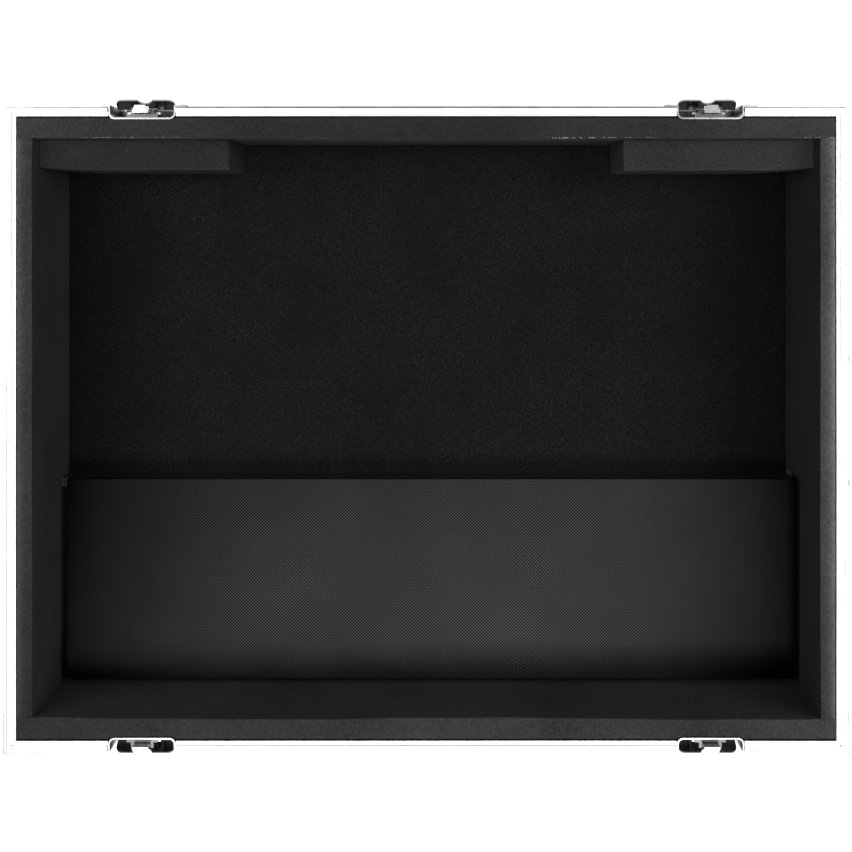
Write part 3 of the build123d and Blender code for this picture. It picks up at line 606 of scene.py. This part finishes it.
# One foam in lit and shaded copies: each lining and block has its own greys, top factor and runs as
# painted light and shade, with lit ends and back parts, a painted shadow along the rim's crevice
# and sides darker towards the bottom
FOAM_FRONT = foam("foam_front", grey(0.019), grey(0.060), 0.92, [
    ("X", 0.30, 0.39, 1.0, 1.35, 1.0), ("X", -0.39, 0.05, 0.82, 1.0, 1.0),
    ("abs Y", LIP_Y - 0.0020, LIP_Y - 0.0010, 1.0, 0.45, 1.0)])
FOAM_BACK = foam("foam_back", grey(0.018), grey(0.056), 0.70, [
    ("abs X", 0.03, 0.39, 0.82, 1.60, 1.3),
    ("abs Y", LIP_Y - 0.0022, LIP_Y - 0.0010, 1.0, 0.10, 1.0)],
    (0.06, 0.18, 0.75, 1.8), Y_LINING)
FOAM_LEFT = foam("foam_left", grey(0.014), grey(0.044), 1.50, [
    ("abs X", X_LINING, LIP_X, 0.86, 2.2, 3.5), ("Y", -0.25, 0.12, 0.62, 1.0, 1.0)])
FOAM_RIGHT = foam("foam_right", grey(0.011), grey(0.034), 2.9, [
    ("abs X", X_LINING, LIP_X, 0.80, 2.6, 2.6), ("Y", -0.25, 0.05, 0.75, 1.0, 1.0)])
# painted highlight along the blocks' top front edge
BLOCK_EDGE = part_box("left_corner_block")[0].y
FOAM_BLOCK_LEFT = foam("foam_block_left", grey(0.014), grey(0.044), 0.88, [
    ("Y", BLOCK_EDGE, BLOCK_EDGE + 0.0022, 1.6, 1.0, 0.5)])
FOAM_BLOCK_RIGHT = foam("foam_block_right", grey(0.020), grey(0.062), 0.78, [
    ("Y", BLOCK_EDGE, BLOCK_EDGE + 0.0022, 1.5, 1.0, 0.5)])
FELT = felt()
ALUMINIUM_X = metal("aluminium_along_x", (0.84, 0.845, 0.85), 0.30, (3, 900, 900), 0.20,
                    tongue=("Y", Y_PANEL + WALL))
ALUMINIUM_Y = metal("aluminium_along_y", (0.84, 0.845, 0.85), 0.30, (900, 3, 900), 0.20,
                    tongue=("X", X_PANEL + WALL))
ALUMINIUM_Z = metal("aluminium_along_z", (0.84, 0.845, 0.85), 0.30, (900, 900, 3), 0.20)
PLATED = metal("plated_steel", (0.58, 0.58, 0.59), 0.24, (60, 60, 60), 0.40)
dish_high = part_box("latch_dish_back_right")[1]
DISH = metal("dish_steel", (0.40, 0.40, 0.405), 0.24, (60, 60, 60), 0.45,
             pan=(dish_high.y, dish_high.z, 0.28))
NICKEL = metal("nickel_steel", (0.42, 0.415, 0.405), 0.18, (60, 60, 60), 0.35)
RIVET = metal("rivet_steel", (0.74, 0.74, 0.75), 0.20, (120, 120, 120), 0.30)
GRIP = rubber("grip_rubber", 0.018)
FOOT = rubber("foot_rubber", 0.022)
WOOD = plywood()

NODE_MATERIALS = {
    "bottom_panel": LAMINATE_TOP, "step_board": LAMINATE_TOP, "step_riser": LAMINATE_RISER,
    "step_cleats": WOOD, "rubber_feet": FOOT, "foot_screws": PLATED, "rivets": RIVET,
}
for side in SIDES:
    long_side = side in ("front", "back")
    NODE_MATERIALS[f"{side}_panel"] = LAMINATE_LONG if long_side else LAMINATE_END
    NODE_MATERIALS[f"{side}_rim"] = ALUMINIUM_X if long_side else ALUMINIUM_Y
    NODE_MATERIALS[f"{side}_bottom_angle"] = ALUMINIUM_X if long_side else ALUMINIUM_Y
for side in ("left", "right"):
    NODE_MATERIALS[f"{side}_handle_plate"] = PLATED
    NODE_MATERIALS[f"{side}_handle_bail"] = NICKEL
    NODE_MATERIALS[f"{side}_handle_grip"] = GRIP
for corner in CORNERS:
    NODE_MATERIALS[f"corner_angle_{corner}"] = ALUMINIUM_Z
    NODE_MATERIALS[f"corner_brace_{corner}"] = PLATED
    NODE_MATERIALS[f"ball_corner_{corner}"] = PLATED
    NODE_MATERIALS[f"latch_dish_{corner}"] = DISH
    for piece in ("hook", "spindle", "wing"):
        NODE_MATERIALS[f"latch_{piece}_{corner}"] = NICKEL

for name, material in NODE_MATERIALS.items():
    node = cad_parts[name]
    for slot in node.material_slots:
        slot.material = material
    if not node.material_slots:
        node.data.materials.append(material)

for side in SIDES:
    lining(side)
for side in ("left", "right"):
    corner_block(side)
felt_mat()


# Floor, world, lamps and camera

def white_surround(tree, out, lit, shown, mirrored):
    """Mixes what light sees with what the camera sees, and what mirrors and glass see."""
    path = add(tree, "ShaderNodeLightPath").outputs
    seen = math_node(tree, "MAXIMUM", path["Is Glossy Ray"], path["Is Transmission Ray"])
    through = add(tree, "ShaderNodeMixShader", {0: seen, 1: lit, 2: mirrored}).outputs[0]
    mix = add(tree, "ShaderNodeMixShader", {0: path["Is Camera Ray"], 1: through, 2: shown})
    link(tree, mix.outputs[0], out)


world = bpy.data.worlds.new("studio")
bpy.context.scene.world = world
world.use_nodes = True
sky = world.node_tree
sky.nodes.clear()
out = add(sky, "ShaderNodeOutputWorld").inputs["Surface"]
WORLD_LIGHT = 0.05
lit = add(sky, "ShaderNodeBackground", {"Color": (1, 1, 1, 1), "Strength": WORLD_LIGHT}).outputs[0]
shown = add(sky, "ShaderNodeBackground", {"Color": (1, 1, 1, 1), "Strength": 1.0}).outputs[0]
white_surround(sky, out, lit, shown, shown)

bpy.ops.mesh.primitive_plane_add(size=30, location=(0, 0, -0.0002))
floor = bpy.context.object
floor.name = "studio_floor"
paper, tree, shader = new_material("studio_paper")
tree.nodes.remove(shader)
matte = add(tree, "ShaderNodeBsdfDiffuse", {"Color": (0.85, 0.85, 0.85, 1)}).outputs[0]
away = add(tree, "ShaderNodeVectorMath", {0: coords(tree)}, operation="LENGTH").outputs["Value"]
fade = remap(tree, away, 0.9, 2.6, 0.72, 1.0)
glow = add(tree, "ShaderNodeEmission", {"Color": (1, 1, 1, 1), "Strength": fade}).outputs[0]
both = add(tree, "ShaderNodeAddShader", {0: matte, 1: glow}).outputs[0]
pale = add(tree, "ShaderNodeEmission", {"Color": (1, 1, 1, 1), "Strength": 0.80}).outputs[0]
white_surround(tree, tree.nodes["Material Output"].inputs["Surface"], matte, both, pale)
floor.data.materials.append(paper)


def softbox(name, place, aim, width, height, power, mirrored=True):
    """Rectangular lamp that no camera sees, and that metal only mirrors where asked."""
    lamp = bpy.data.lights.new(name, "AREA")
    lamp.shape = "RECTANGLE"
    lamp.size, lamp.size_y = width, height
    lamp.energy = power
    box = bpy.data.objects.new(name, lamp)
    box.location = place
    box.rotation_euler = (Vector(aim) - Vector(place)).to_track_quat("-Z", "Y").to_euler()
    box.visible_camera = False
    box.visible_glossy = mirrored
    bpy.context.scene.collection.objects.link(box)


softbox("left_softbox", (-1.20, 0.40, 1.70), (-0.2, 0.0, 0.1), 0.5, 1.3, 12)
softbox("right_softbox", (1.35, 0.40, 1.70), (0.2, 0.0, 0.1), 0.5, 1.3, 17)
softbox("front_softbox", (-0.04, -0.70, 1.85), (0.0, -0.2, 0.1), 1.10, 0.62, 14)
softbox("front_right_softbox", (0.32, -0.70, 1.84), (0.1, -0.2, 0.1), 0.38, 0.60, 2.5)
softbox("overhead_softbox", (0.05, 0.30, 1.95), (0.0, 0.0, 0.1), 0.3, 0.3, 4, mirrored=False)

camera_data = bpy.data.cameras.new("camera")
camera = bpy.data.objects.new("camera", camera_data)
bpy.context.scene.collection.objects.link(camera)
camera.location = (0.0113, 0.2020, 1.665)
camera.rotation_euler = (0, 0, 0)
camera_data.sensor_width = 36
camera_data.lens = 65.2
camera_data.shift_x = -0.0141
camera_data.shift_y = -0.244
camera_data.clip_start = 0.05
camera_data.clip_end = 100
bpy.context.scene.camera = camera
bpy.context.scene.view_settings.view_transform = "Standard"
